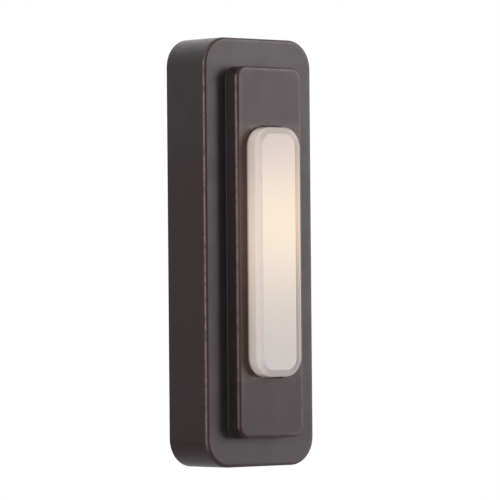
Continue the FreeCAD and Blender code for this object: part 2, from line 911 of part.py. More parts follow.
def make_back_plate():
    body = new_body("back_plate")
    rounded_block(body, "plate", plate_width, plate_height,
                  size.case_corner - size.case_wall - size.plate_gap, ZERO,
                  size.plate_thickness)
    rounded_pocket(body, "wire_window", size.plate_window_width, size.plate_window_height,
                   size.plate_window_corner, ZERO, size.plate_thickness)
    slot = rounded_pocket(body, "wall_slot", size.slot_width, size.slot_length,
                          size.slot_corner, ZERO, size.plate_thickness,
                          size.slot_spacing / 2)
    mirrored(body, "wall_slots", [slot], ["XY_Plane"])
    tab_place = (plate_height - size.plate_thickness) / 2
    tab = block(body, "folded_tab", size.tab_width, size.plate_thickness, ZERO,
                size.tab_length, ZERO, tab_place)
    mirrored(body, "folded_tabs", [tab], ["XY_Plane"])
    hook_rise = size.hook_rise + size.plate_gap
    block(body, "hook", size.hook_width, hook_rise, size.tab_length - size.hook_length,
          size.hook_length, ZERO, (plate_height + hook_rise) / 2)
    thread = level_sketch(body, "thread_outline", -(plate_height / 2), ZERO,
                          size.set_screw_depth)
    circle(thread, size.set_screw_radius)
    pocket(body, "thread", thread, size.plate_thickness)
    return body


def make_set_screw():
    body = new_body("set_screw")
    seat = size.counterbore_depth - size.case_height / 2
    outline = front_sketch(body, "screw_outline", size.set_screw_depth, ZERO, seat)
    shank = size.set_screw_radius - size.thread_gap
    head = size.set_screw_head
    polygon(outline, [
        (ZERO, -size.set_screw_head_height),
        (head, -size.set_screw_head_height),
        (head, ZERO),
        (shank, ZERO),
        (shank, size.set_screw_length),
        (ZERO, size.set_screw_length),
    ])
    turned(body, "screw", outline)
    groove = level_sketch(body, "driver_slot_outline", seat - size.set_screw_head_height,
                          ZERO, size.set_screw_depth)
    rectangle(groove, head * 2 + size.hole_gap, size.driver_slot_width)
    pocket(body, "driver_slot", groove, size.driver_slot_depth)
    return body


# Checks and files

def check_document():
    for item in doc.Objects:
        if "Invalid" in item.State or "Error" in item.State:
            raise RuntimeError(f"{item.Name} failed: {item.State}")
        if item.TypeId == "PartDesign::Pocket":
            if item.Shape.Volume > item.BaseFeature.Shape.Volume - TOLERANCE:
                raise RuntimeError(item.Name + " cuts nothing")


def solids_in(name):
    if name in FOUR_ALIKE:
        return 4
    if name in TWO_ALIKE:
        return 2
    return 1


def write_files(nodes):
    os.makedirs("parts", exist_ok=True)
    for node in nodes:
        shape = node.Shape
        solids = solids_in(node.Label)
        if shape.isNull() or not shape.isValid():
            raise RuntimeError(node.Label + " has no valid shape")
        if len(shape.Solids) != solids:
            raise RuntimeError(f"{node.Label} has {len(shape.Solids)} solids, not {solids}")
        shape.exportStep(f"parts/{node.Label}.step")
        print(f"{node.Label}: {shape.Volume:.1f} cubic mm")


# Nodes that hold several solids of one kind
TWO_ALIKE = ["carrier_screws", "board_screws", "led_leads", "rectifier_diodes", "terminal_screws"]
FOUR_ALIKE = ["switch_pins"]

NODES = [
    make_tiered_housing(),
    make_push_button(),
    make_button_carrier(),
    make_carrier_screws(),
    make_circuit_board(),
    make_board_screws(),
    make_switch_base(),
    make_switch_cover(),
    make_switch_plunger(),
    make_switch_dome(),
    make_switch_pins(),
    make_led_lamp(),
    make_led_leads(),
    make_led_resistor(),
    make_rectifier_diodes(),
    make_terminal_plate("terminal_plate_left", -1),
    make_terminal_plate("terminal_plate_right", 1),
    make_terminal_screws(),
    make_return_spring("return_spring_top", 1),
    make_return_spring("return_spring_bottom", -1),
    make_back_plate(),
    make_set_screw(),
]

doc.recompute()
check_document()
write_files(NODES)
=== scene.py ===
import json
from math import atan2, cos, exp, hypot, pi, radians, sin, tau

import bmesh
import bpy
from mathutils import Matrix, Vector


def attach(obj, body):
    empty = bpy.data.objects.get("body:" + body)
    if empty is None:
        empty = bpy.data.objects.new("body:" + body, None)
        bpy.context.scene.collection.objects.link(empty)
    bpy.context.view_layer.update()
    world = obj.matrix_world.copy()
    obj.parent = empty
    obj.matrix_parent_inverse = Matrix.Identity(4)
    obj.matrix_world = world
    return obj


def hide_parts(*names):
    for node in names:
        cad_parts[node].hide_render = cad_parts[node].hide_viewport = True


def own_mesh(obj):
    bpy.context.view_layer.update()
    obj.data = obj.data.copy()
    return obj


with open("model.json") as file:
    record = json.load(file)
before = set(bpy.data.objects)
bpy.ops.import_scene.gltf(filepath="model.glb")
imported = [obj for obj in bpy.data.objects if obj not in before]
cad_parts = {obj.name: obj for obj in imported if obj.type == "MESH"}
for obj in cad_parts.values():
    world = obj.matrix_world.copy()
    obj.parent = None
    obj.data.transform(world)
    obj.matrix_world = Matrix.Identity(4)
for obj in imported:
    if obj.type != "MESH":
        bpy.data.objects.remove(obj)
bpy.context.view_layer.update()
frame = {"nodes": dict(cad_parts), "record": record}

MM = 0.001

# Sizes in millimetres. A rounded rectangle is (width, height, corner radius), and a front,
# back, shoulder or inside is a depth forward from the wall, so depth d is at Y = -d.
CASE = (35.0, 105.0, 7.0)
CASE_FRONT = 14.2
CASE_WALL = 1.8
TIER = (21.3, 90.8, 3.0)
TIER_FRONT = 18.3
EDGE_ROUND = 0.8
FOOT_ROUND = 0.2
WINDOW = (15.2, 61.5, 5.25)
WINDOW_BEVEL = 0.3
BUTTON = (14.7, 61.0, 5.0)
BUTTON_SHOULDER = 21.2
BUTTON_FRONT = 21.5
BUTTON_WALL = 1.5
BUTTON_INSIDE = 19.9
FACET = (10.6, 57.6, 3.0)
SHOULDER_ROUND = 0.35
FLANGE = (16.6, 64.0, 3.0)
FLANGE_BACK = 14.95
FLANGE_FRONT = 16.45
BOARD_FRONT = 7.5
BOARD_BACK = 5.9
TERMINAL_BACK = 5.1

# Places along the height, or (across, along the height), from the middle of the part
BOSS_PLACE = 38.0
POST_PLACE = 25.5
BOARD_SCREW_PLACE = 20.2
LAMP_PLACE = 6.5
RESISTOR_PLACE = 12.2
DIODE_PLACES = (15.8, -6.8)
TERMINAL_PLACE = (4.2, -13.5)
SET_SCREW_DEPTH = 5.0

# Colours and light
LACQUER_DARK = (0.0172, 0.0125, 0.0125)
LACQUER_LIGHT = (0.0214, 0.0158, 0.0158)
SCREW_LACQUER_LIGHT = (0.021, 0.0155, 0.0155)
RUBBED_LACQUER = (0.020, 0.006, 0.006)
# Worn copper on the housing's edges, which is also a painted highlight there
COPPER_AND_GLINT = (0.40, 0.27, 0.26)
LENS_FRONT = (0.395, 0.353, 0.342)
WORLD_LIGHT = 0.45


# Camera

def place_camera():
    azimuth = radians(-41.4075)
    elevation = radians(-0.7587)
    roll = radians(-0.4783)
    distance = 1.00843
    aim_right, aim_up = 0.0070504, 0.0007508
    back = Vector((sin(azimuth) * cos(elevation), -cos(azimuth) * cos(elevation), sin(elevation)))
    level = Vector((cos(azimuth), sin(azimuth), 0))
    upright = back.cross(level)
    across = level * cos(roll) + upright * sin(roll)
    up = upright * cos(roll) - level * sin(roll)
    target = level * aim_right + upright * aim_up
    data = bpy.data.cameras.new("camera")
    data.sensor_width = 36
    data.lens = 292.71
    data.clip_start = 0.01
    data.clip_end = 50
    camera = bpy.data.objects.new("camera", data)
    place = Matrix((across, up, back)).transposed().to_4x4()
    place.translation = target + back * distance
    camera.matrix_world = place
    bpy.context.scene.collection.objects.link(camera)
    bpy.context.scene.camera = camera


# Materials

class Finish:
    """A node material with one Principled shader."""

    def __init__(self, name, color, roughness, metallic=0.0, **sockets):
        self.material = bpy.data.materials.new(name)
        self.material.use_nodes = True
        self.tree = self.material.node_tree
        self.shader = self.tree.nodes["Principled BSDF"]
        self.set(self.shader, "Base Color", (*color, 1))
        self.set(self.shader, "Roughness", roughness)
        self.set(self.shader, "Metallic", metallic)
        for socket, value in sockets.items():
            self.set(self.shader, socket.replace("_", " "), value)
        self.coordinates = self.add("ShaderNodeTexCoord").outputs["Object"]

    def set(self, node, socket, value):
        node.inputs[socket].default_value = value

    def add(self, kind, **settings):
        node = self.tree.nodes.new(kind)
        for key, value in settings.items():
            setattr(node, key, value)
        return node

    def link(self, start, end):
        self.tree.links.new(start, end)

    def feed(self, start, socket):
        self.link(start, self.shader.inputs[socket])

    def shine(self, color, strength=1.0):
        """Give off light of this colour."""
        self.feed(color, "Emission Color")
        self.set(self.shader, "Emission Strength", strength)

    def noise(self, grain, detail=3.0, stretch=None):
        """Noise with grains of about this many millimetres."""
        node = self.add("ShaderNodeTexNoise")
        self.set(node, "Scale", 1 / (grain * MM))
        self.set(node, "Detail", detail)
        source = self.coordinates
        if stretch:
            mapping = self.add("ShaderNodeMapping")
            self.set(mapping, "Scale", stretch)
            self.link(source, mapping.inputs["Vector"])
            source = mapping.outputs["Vector"]
        self.link(source, node.inputs["Vector"])
        return node.outputs["Fac"]

    def attributes(self, *names):
        """The numbers that the mesh has at its points, one output for each name."""
        return [self.add("ShaderNodeAttribute", attribute_name=name).outputs["Fac"]
                for name in names]

    def span(self, source, low, high, out_low=0.0, out_high=1.0):
        """A smooth change of one number while another goes from low to high."""
        node = self.add("ShaderNodeMapRange", interpolation_type="SMOOTHSTEP")
        for socket, value in (("From Min", low), ("From Max", high),
                              ("To Min", out_low), ("To Max", out_high)):
            self.set(node, socket, value)
        self.link(source, node.inputs["Value"])
        return node.outputs["Result"]

    def zone(self, source, low, high, out_low=0.0, out_high=1.0):
        """A smooth change between two places on the piece, in millimetres."""
        return self.span(source, low * MM, high * MM, out_low, out_high)

    def math(self, operation, first, second=0.0):
        node = self.add("ShaderNodeMath", operation=operation)
        for index, value in enumerate((first, second)):
            if isinstance(value, (int, float)):
                node.inputs[index].default_value = value
            else:
                self.link(value, node.inputs[index])
        return node.outputs["Value"]

    def product(self, first, *others):
        """All these outputs multiplied together."""
        for other in others:
            first = self.math("MULTIPLY", first, other)
        return first

    def position(self):
        """The place on the piece as three outputs, X, Y and Z."""
        node = self.add("ShaderNodeSeparateXYZ")
        self.link(self.coordinates, node.inputs["Vector"])
        return node.outputs

    def glow(self, height, reach):
        """Falls off along the button from this height, in millimetres."""
        along = self.math("SUBTRACT", self.position()["Z"], height * MM)
        squared = self.math("MULTIPLY", along, along)
        return self.math("EXPONENT",
                         self.math("MULTIPLY", squared, -1 / (2 * (reach * MM) ** 2)))

    def mix(self, factor, first, second):
        """A colour between two others; each is a colour or an output."""
        node = self.add("ShaderNodeMix", data_type="RGBA")
        self.link(factor, node.inputs["Factor"])
        for socket, value in ((node.inputs[6], first), (node.inputs[7], second)):
            if isinstance(value, tuple):
                socket.default_value = (*value, 1)
            else:
                self.link(value, socket)
        return node.outputs[2]

    def bump(self, height, distance, strength=1.0):
        node = self.add("ShaderNodeBump")
        self.set(node, "Distance", distance * MM)
        self.set(node, "Strength", strength)
        self.link(height, node.inputs["Height"])
        return node.outputs["Normal"]


def mottled(name, dark, light, roughness, grain, metallic=0.0, peel=0.02, peel_grain=0.4,
            stretch=None, gloss_change=0.15, **sockets):
    """A finish whose colour, gloss and surface vary a little over the piece."""
    finish = Finish(name, light, roughness, metallic, **sockets)
    cloud = finish.noise(grain, 4.0, stretch)
    finish.feed(finish.mix(finish.span(cloud, 0.35, 0.65), dark, light), "Base Color")
    finish.feed(finish.span(cloud, 0.3, 0.7, roughness * (1 - gloss_change),
                            roughness * (1 + gloss_change)), "Roughness")
    finish.feed(finish.bump(finish.noise(peel_grain, 2.0, stretch), peel, 0.6), "Normal")
    return finish


def bronze_lacquer(name):
    """Dark satin lacquer over bronze."""
    return mottled(name, LACQUER_DARK, SCREW_LACQUER_LIGHT, 0.36, 6.0, peel=0.012,
                   peel_grain=0.5, gloss_change=0.06, IOR=1.25, Specular_IOR_Level=0.83,
                   Specular_Tint=(1.0, 0.9, 0.96, 1))


def bronze_wear_and_painted_light():
    """The housing's lacquer, rubbed thin and red along the edges and worn to copper there, with a
    painted highlight along the copper lines, painted light and shade in the lacquer's colour, and
    painted lamp light round the button.
    """
    finish = bronze_lacquer("bronze_finish")
    place = finish.position()
    across = finish.math("ABSOLUTE", place["X"])
    beyond = finish.math("ABSOLUTE", place["Z"])
    tier_front = finish.zone(place["Y"], -TIER_FRONT, -(TIER_FRONT - 1.0), 1.0, 0.0)
    lacquer = lacquer_tint_and_painted_light(finish, place, beyond, tier_front)
    rubbed_mark, copper_and_glint_mark = finish.attributes("rubbed", "copper")
    rubbed = finish.product(rubbed_mark, finish.span(finish.noise(2.5), 0.25, 0.6, 0.6, 1.0))
    # The copper mark is worn copper and a painted highlight in one line
    copper = finish.product(copper_and_glint_mark, finish.span(finish.noise(1.6, 4.0), 0.3, 0.6, 0.18, 0.38))
    worn = finish.mix(copper, finish.mix(rubbed, lacquer, RUBBED_LACQUER), COPPER_AND_GLINT)
    finish.feed(worn, "Base Color")
    finish.feed(copper, "Metallic")
    finish.shine(lamp_spill(finish, place, across, beyond, tier_front))
    return finish.material


def lacquer_tint_and_painted_light(finish, place, beyond, tier_front):
    """The lacquer's colour: browner at the front of the case's side, painted shade that darkens the
    tier's ends, and painted light that makes the tier's side paler towards the top and the case
    paler above and below the tier."""
    case_side = finish.product(
        finish.zone(place["Y"], -(CASE_FRONT - 0.4), -(CASE_FRONT - 1.2)),
        finish.math("ADD", finish.zone(place["Z"], 15, 40, 1.0, 0.0),
                    finish.zone(place["Z"], 49.5, 51.5)))
    tier_side_painted_light = finish.product(
        finish.zone(place["Y"], -TIER_FRONT, -(TIER_FRONT - 0.8)),
        finish.zone(place["Y"], -(CASE_FRONT + 0.6), -CASE_FRONT, 1.0, 0.0),
        finish.zone(place["Z"], -40, 45))
    tier_end_painted_shade = finish.product(tier_front, finish.zone(beyond, 29, 33))
    case_end_painted_light = finish.zone(beyond, 45.6, 47.5)
    lacquer = finish.mix(finish.span(finish.noise(5.0, 3.0), 0.35, 0.65),
                         LACQUER_DARK, LACQUER_LIGHT)
    # Painted light and shade in the lacquer: the tier's ends darker, the tier's side and the case's
    # ends paler; the case's side browner
    for zone, tint in ((case_end_painted_light, (0.025, 0.0205, 0.0215)),
                       (case_side, (0.0147, 0.0077, 0.0080)),
                       (tier_side_painted_light, (0.031, 0.0255, 0.0265)),
                       (tier_end_painted_shade, (0.0120, 0.0068, 0.0082))):
        lacquer = finish.mix(zone, lacquer, tint)
    return lacquer


def lamp_spill(finish, place, across, beyond, tier_front):
    """Painted lamp light, given off by the lacquer on the tier round the button and in the gap at
    the button's ends. Little of it reaches the lower right corner."""
    near = finish.product(tier_front, finish.zone(across, 10.2, 11.4, 1.0, 0.0),
                          finish.zone(beyond, 30.5, 33.0, 1.0, 0.0))
    beside = finish.product(finish.glow(LAMP_PLACE + 1.5, 11.0),
                            finish.zone(place["X"], 5, 8, 0.8, 1.5))
    low_right = finish.product(finish.zone(place["X"], -1, 5),
                               finish.zone(place["Z"], -31, -26, 1.0, 0.0))
    reached = finish.math("SUBTRACT", 1.0, low_right)
    ends = finish.product(finish.zone(beyond, 29.5, 31.5, 0.34, 0.40), reached)
    # Painted light in the gap at the button's ends
    gap = finish.product(finish.zone(across, 5.8, 7.2, 1.0, 0.0),
                         finish.zone(beyond, 29.8, 30.4),
                         finish.zone(beyond, 30.9, 31.2, 1.0, 0.0), reached)
    spill = finish.mix(finish.product(near, finish.math("ADD", beside, ends)),
                       (0.0, 0.0, 0.0), (0.042, 0.023, 0.015))
    return finish.mix(gap, spill, (0.045, 0.036, 0.035))


def lit_lens():
    """A milky moulding lit warm from behind, brightest in front of the lamp. Its glow is painted
    light given off by the surface, and its colour holds painted shade.
    """
    finish = Finish("lit_lens", LENS_FRONT, 0.2, Subsurface_Weight=0.2,
                    Subsurface_Scale=0.002, Specular_IOR_Level=0.25)
    facet, wall, foot, right, top, end, upper_left_painted_light = finish.attributes(
        "facet", "wall", "foot", "right", "top", "end", "upper_left_painted_light")
    height = finish.position()["Z"]

    # Painted shade in the colour: the bevel darker towards the right and along the top, the wall
    # darker at its ends, and its base darker in the window
    left_bevel = finish.mix(finish.zone(height, -28, 28), (0.475, 0.44, 0.445), (0.42, 0.39, 0.41))
    bevel = finish.mix(top, finish.mix(right, left_bevel, (0.13, 0.12, 0.11)),
                       (0.235, 0.195, 0.185))
    front = finish.mix(finish.zone(height, -12, 28), LENS_FRONT, (0.37, 0.317, 0.325))
    side = finish.mix(end, (0.62, 0.555, 0.525), (0.24, 0.22, 0.215))
    body = finish.mix(wall, finish.mix(facet, bevel, front), side)
    finish.feed(finish.mix(foot, body, (0.18, 0.13, 0.105)), "Base Color")

    # The glow is painted light given off by the surface, standing in for the lamp's light through
    # the moulding
    broad = finish.glow(LAMP_PLACE + 1.5, 13.5)
    narrow = finish.glow(LAMP_PLACE + 3.5, 10.5)
    low = finish.glow(LAMP_PLACE - 2.0, 12.5)
    centre = finish.mix(broad, (0.01, 0.01, 0.01), (0.36, 0.265, 0.12))
    near_side = finish.mix(broad, (0.02, 0.02, 0.01), (0.27, 0.18, 0.08))
    far_side = finish.mix(narrow, (0.02, 0.02, 0.01), (0.41, 0.225, 0.07))
    warm = finish.mix(facet, finish.mix(right, near_side, far_side), centre)
    warm_side = finish.mix(low, (0.01, 0.012, 0.01), (0.27, 0.19, 0.11))
    # Painted light on the upper left of the wall
    warm_side = finish.mix(upper_left_painted_light, warm_side, (0.20, 0.17, 0.155))
    lit = finish.mix(wall, warm, warm_side)
    finish.shine(finish.mix(foot, lit, (0.02, 0.01, 0.004)))
    finish.feed(finish.bump(finish.noise(0.6, 2.0), 0.004, 0.5), "Normal")
    return finish.material


def glowing_epoxy():
    """Clear epoxy, brightest towards its front, over a warm chip."""
    finish = mottled("lamp_epoxy", (0.86, 0.78, 0.56), (0.93, 0.86, 0.66), 0.12, 1.0,
                     peel=0.003)
    chip = finish.zone(finish.position()["Y"], -10.2, -12.6, 0.3, 1.0)
    finish.shine(finish.mix(chip, (0.25, 0.14, 0.03), (1.0, 0.8, 0.5)), 1.5)
    return finish.material


# Name, darker and lighter colour, roughness, grain in millimetres and what else is its own
PLAIN_FINISHES = (
    ("black_nylon", (0.014, 0.014, 0.015), (0.024, 0.024, 0.025), 0.55, 2.0,
     dict(peel=0.02, peel_grain=0.25)),
    ("zinc_plated_steel", (0.50, 0.51, 0.50), (0.66, 0.66, 0.63), 0.28, 0.8,
     dict(peel=0.006, metallic=1.0)),
    ("board_laminate", (0.020, 0.10, 0.045), (0.028, 0.13, 0.06), 0.3, 1.5,
     dict(peel=0.01, stretch=(1, 1, 0.3))),
    ("board_tracks", (0.03, 0.15, 0.06), (0.045, 0.19, 0.08), 0.28, 1.2, dict(peel=0.008)),
    ("switch_moulding", (0.02, 0.02, 0.02), (0.03, 0.03, 0.03), 0.5, 0.8, dict(peel=0.01)),
    ("switch_sheet", (0.55, 0.54, 0.52), (0.68, 0.67, 0.64), 0.3, 0.7,
     dict(peel=0.005, metallic=1.0)),
    ("plunger_moulding", (0.03, 0.03, 0.032), (0.042, 0.042, 0.045), 0.42, 0.6,
     dict(peel=0.008)),
    ("spring_steel", (0.48, 0.48, 0.48), (0.60, 0.60, 0.60), 0.25, 0.5,
     dict(peel=0.004, metallic=1.0)),
    ("tinned_wire", (0.58, 0.57, 0.55), (0.72, 0.71, 0.69), 0.3, 0.4,
     dict(peel=0.01, metallic=1.0)),
    ("resistor_lacquer", (0.025, 0.024, 0.026), (0.04, 0.038, 0.04), 0.3, 0.6,
     dict(peel=0.006)),
    ("diode_moulding", (0.018, 0.018, 0.02), (0.028, 0.028, 0.03), 0.5, 0.5,
     dict(peel=0.012)),
    ("terminal_brass", (0.60, 0.42, 0.16), (0.74, 0.54, 0.24), 0.26, 1.2,
     dict(peel=0.006, metallic=1.0)),
    ("plate_steel", (0.50, 0.50, 0.48), (0.57, 0.56, 0.53), 0.34, 5.0,
     dict(peel=0.01, peel_grain=0.6, metallic=1.0)),
)


def inner_materials():
    """The materials of every piece but the housing and the button, by name."""
    materials = {name: mottled(name, *looks, **settings).material
                 for name, *looks, settings in PLAIN_FINISHES}
    materials["lamp_epoxy"] = glowing_epoxy()
    materials["bronzed_screw"] = bronze_lacquer("bronzed_screw").material
    return materials


# Meshes

CORNER_STEPS = 14


def clamped(value):
    return min(max(value, 0), 1)


def outline(width, height, corner):
    """Points of a rounded rectangle, anticlockwise as seen from the front."""
    points = []
    for quarter, (side, end) in enumerate(((1, -1), (1, 1), (-1, 1), (-1, -1))):
        x = side * (width / 2 - corner)
        z = end * (height / 2 - corner)
        for step in range(CORNER_STEPS + 1):
            angle = (quarter - 1 + step / CORNER_STEPS) * pi / 2
            points.append((x + corner * cos(angle), z + corner * sin(angle)))
    return points


def inset(shape, by, depth):
    """A ring: a rounded rectangle that is this much smaller all round, and its depth."""
    width, height, corner = shape
    return (width - 2 * by, height - 2 * by, max(corner - by, 0.05), depth)


def quarter_turn(steps):
    """Angles from nothing to a right angle."""
    return [step / steps * pi / 2 for step in range(steps + 1)]


def new_piece(name, build):
    """An object at the origin from mesh code in millimetres."""
    shape = bmesh.new()
    build(shape)
    bmesh.ops.recalc_face_normals(shape, faces=shape.faces)
    mesh = bpy.data.meshes.new(name)
    shape.to_mesh(mesh)
    shape.free()
    mesh.transform(Matrix.Scale(MM, 4))
    piece = bpy.data.objects.new(name, mesh)
    bpy.context.scene.collection.objects.link(piece)
    return piece


def skin(shape, rings, looped):
    """Quads through a row of rounded rectangles, joined end to end or capped."""
    rows = []
    for width, height, corner, depth in rings:
        rows.append([shape.verts.new((x, -depth, z)) for x, z in outline(width, height, corner)])
    count = len(rows[0])
    following = rows[1:] + rows[:1] if looped else rows[1:]
    for row, after in zip(rows, following):
        for index in range(count):
            after_index = (index + 1) % count
            shape.faces.new((row[index], row[after_index], after[after_index], after[index]))
    if not looped:
        shape.faces.new(rows[0])
        shape.faces.new(rows[-1])


def turned(shape, profile, axis="Y", centre=(0, 0, 0), steps=40):
    """A solid of revolution from (radius, distance along) points that start and end on the axis."""
    rows = []
    for radius, along in profile:
        count = steps if radius > 1e-6 else 1
        row = []
        for step in range(count):
            angle = tau * step / steps
            across, up = radius * cos(angle), radius * sin(angle)
            place = (across, along, up) if axis == "Y" else (across, up, along)
            row.append(shape.verts.new([p + c for p, c in zip(place, centre)]))
        rows.append(row)
    for row, after in zip(rows, rows[1:]):
        for step in range(steps):
            corners = []
            for ring, index in ((row, step), (row, step + 1), (after, step + 1), (after, step)):
                corner = ring[index % len(ring)]
                if corner not in corners:
                    corners.append(corner)
            if len(corners) > 2:
                shape.faces.new(corners)


def cuboid(shape, low, high):
    corners = [[(low, high)[bit][axis] for axis, bit in enumerate(bits)]
               for bits in ((0, 0, 0), (1, 0, 0), (1, 1, 0), (0, 1, 0),
                            (0, 0, 1), (1, 0, 1), (1, 1, 1), (0, 1, 1))]
    verts = [shape.verts.new(corner) for corner in corners]
    for face in ((0, 3, 2, 1), (4, 5, 6, 7), (0, 1, 5, 4),
                 (1, 2, 6, 5), (2, 3, 7, 6), (3, 0, 4, 7)):
        shape.faces.new([verts[index] for index in face])


def combined(piece, tool, operation):
    """Cut the tool from the piece, or join it on, and leave one plain mesh."""
    modifier = piece.modifiers.new("combine", "BOOLEAN")
    modifier.operation = operation
    modifier.solver = "EXACT"
    modifier.object = tool
    settle(piece)
    bpy.data.objects.remove(tool)


def settle(piece):
    """Turn the piece and its modifiers into one plain mesh."""
    bpy.context.view_layer.update()
    evaluated = piece.evaluated_get(bpy.context.evaluated_depsgraph_get())
    mesh = bpy.data.meshes.new_from_object(evaluated)
    piece.modifiers.clear()
    piece.data = mesh


def smoothed(piece, angle=40):
    """Smooth shading that breaks where the surface turns sharply."""
    shape = bmesh.new()
    shape.from_mesh(piece.data)
    limit = radians(angle)
    for face in shape.faces:
        face.smooth = True
    for edge in shape.edges:
        edge.smooth = edge.is_manifold and edge.calc_face_angle(0) < limit
    shape.to_mesh(piece.data)
    shape.free()


def softened(piece, width):
    """Round the sharp edges of a small block."""
    shape = bmesh.new()
    shape.from_mesh(piece.data)
    bmesh.ops.bevel(shape, geom=shape.edges[:], offset=width * MM, offset_type="OFFSET",
                    segments=3, profile=0.5, affect="EDGES", clamp_overlap=True)
    shape.to_mesh(piece.data)
    shape.free()
    smoothed(piece, 50)


def covered(piece, material):
    piece.data.materials.clear()
    piece.data.materials.append(material)


def placed(piece, body, slot, *nodes):
    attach(piece, body)
    if nodes:
        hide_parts(*nodes)


def point_values(mesh, *names):
    """New attributes with a number at each point, fetched once they are all there."""
    for name in names:
        mesh.attributes.new(name, "FLOAT", "POINT")
    return [mesh.attributes[name].data for name in names]


# Housing

def outline_distance(x, z, shape):
    """How far a point is outside a rounded rectangle, negative inside it."""
    width, height, corner = shape
    over = abs(x) - width / 2 + corner
    above = abs(z) - height / 2 + corner
    return hypot(max(over, 0), max(above, 0)) + min(max(over, above), 0) - corner


def edge_path(x, z, depth, shape, front):
    """Distance along the surface from where the side starts to turn into the front."""
    inside = -outline_distance(x, z, shape)
    below = depth - (front - EDGE_ROUND)
    if below <= 0:
        return below if inside < 0.02 else None
    if inside < EDGE_ROUND:
        return EDGE_ROUND * atan2(below, EDGE_ROUND - inside)
    if abs(depth - front) < 0.02:
        return EDGE_ROUND * pi / 2 + inside - EDGE_ROUND
    return None


def paint_edges(mesh):
    """Where the lacquer is worn through to copper, with a painted highlight laid along the same
    lines, and where it is only rubbed thin.

    Along the left sides the copper shows where the side ends. It stops before the lower corner,
    which is left dark as painted shade. Along the tops and the right sides it shows where the front
    begins. One line passes over to the other round the upper left corner, early on the tier and
    late on the case, following the painted highlight. The tier has a faint third line farther in on
    its left, a second painted highlight."""
    copper, rubbed = point_values(mesh, "copper", "rubbed")

    def line(path, peak, width):
        return exp(-((path - peak) / width) ** 2)

    for index, vertex in enumerate(mesh.vertices):
        x, z, depth = vertex.co.x / MM, vertex.co.z / MM, -vertex.co.y / MM
        on_tier = depth > CASE_FRONT + 0.01
        shape, front = (TIER, TIER_FRONT) if on_tier else (CASE, CASE_FRONT)
        path = edge_path(x, z, depth, shape, front)
        if path is None:
            continue
        turn = 1 if x > 0 else clamped((z - shape[1] / 2 + shape[2]) / shape[2])
        # Each line is worn copper and a painted highlight. Towards the lower corners, kept fades it
        # out as painted shade.
        if on_tier:
            kept = clamped((z + TIER[1] / 2 - TIER[2] + 1) / 2)
            left_copper_and_glint = kept * line(path, 0.33, 0.32) + 0.15 * kept * line(path, 1.95, 0.3)
            fading = max(1 - 1.5 * turn, 0)
            front_copper_and_glint = 0.42
            rubbed_side = 0.8 * line(path, -0.15, 0.35) * (1 - turn)
        else:
            below_corner = (CASE[2] - CASE[1] / 2 - z) / CASE[2]
            kept = clamped(1.3 - 3.0 * below_corner)
            left_copper_and_glint = kept * line(path, 0.4, 0.26)
            fading = 1 - turn ** 2
            front_copper_and_glint = 0.28
            rubbed_side = 0
        copper[index].value = left_copper_and_glint * fading + front_copper_and_glint * turn * line(path, 1.08, 0.28)
        rubbed[index].value = max(line(path, 1.15 - 0.75 * turn, 0.4), rubbed_side)


def block_rings(shape, front):
    """Rings up the last of a block's side, over its round and onto its front."""
    rings = [inset(shape, 0, front - 1.6), inset(shape, 0, front - 0.95)]
    rings += [inset(shape, EDGE_ROUND * (1 - cos(angle)), front - EDGE_ROUND * (1 - sin(angle)))
              for angle in quarter_turn(14)]
    rings += [inset(shape, EDGE_ROUND + more, front) for more in (0.1, 0.6, 1.3)]
    return rings


def build_housing():
    back_bevel = 0.15
    case_inside = CASE_FRONT - CASE_WALL
    tier_inside = TIER_FRONT - CASE_WALL
    cavity = inset(CASE, CASE_WALL, 0)[:3]
    tier_cavity = inset(TIER, CASE_WALL, 0)[:3]
    rings = [inset(CASE, back_bevel, 0), inset(CASE, 0, back_bevel)]
    rings += block_rings(CASE, CASE_FRONT)
    rings.append(inset(TIER, -FOOT_ROUND - 0.15, CASE_FRONT))
    rings += [inset(TIER, -FOOT_ROUND * (1 - sin(angle)),
                    CASE_FRONT + FOOT_ROUND * (1 - cos(angle)))
              for angle in quarter_turn(6)]
    rings.append(inset(TIER, 0, CASE_FRONT + 0.6))
    rings += block_rings(TIER, TIER_FRONT)
    rings.append(inset(WINDOW, -WINDOW_BEVEL - 0.1, TIER_FRONT))
    rings += [inset(WINDOW, -WINDOW_BEVEL * (1 - sin(angle)),
                    TIER_FRONT - WINDOW_BEVEL * (1 - cos(angle)))
              for angle in quarter_turn(4)]
    rings += [(*WINDOW, tier_inside), (*tier_cavity, tier_inside), (*tier_cavity, case_inside),
              (*cavity, case_inside), (*cavity, back_bevel), inset(cavity, -back_bevel, 0)]
    housing = new_piece("housing", lambda shape: skin(shape, rings, True))

    def bosses(shape):
        for z in (-BOSS_PLACE, BOSS_PLACE):
            turned(shape, [(0, -17.0), (2.5, -17.0), (2.5, -9.5), (0, -9.5)], centre=(0, 0, z))

    def pilots(shape):
        for z in (-BOSS_PLACE, BOSS_PLACE):
            turned(shape, [(0, -12.9), (1.0, -12.9), (1.0, -9.0), (0, -9.0)], centre=(0, 0, z))

    def hook_slot(shape):
        cuboid(shape, (-4.8, -8.2, 50.2), (4.8, -6.6, 51.5))

    def screw_seat(shape):
        turned(shape, [(0, -53.0), (2.9, -53.0), (2.9, -51.5), (1.7, -51.5), (1.7, -50.2),
                       (0, -50.2)], "Z", (0, -SET_SCREW_DEPTH, 0))

    combined(housing, new_piece("tool", bosses), "UNION")
    for cut in (pilots, hook_slot, screw_seat):
        combined(housing, new_piece("tool", cut), "DIFFERENCE")
    smoothed(housing, 35)
    paint_edges(housing.data)
    covered(housing, bronze_wear_and_painted_light())
    placed(housing, "housing", "bronze_finish", "tiered_housing")


# Button

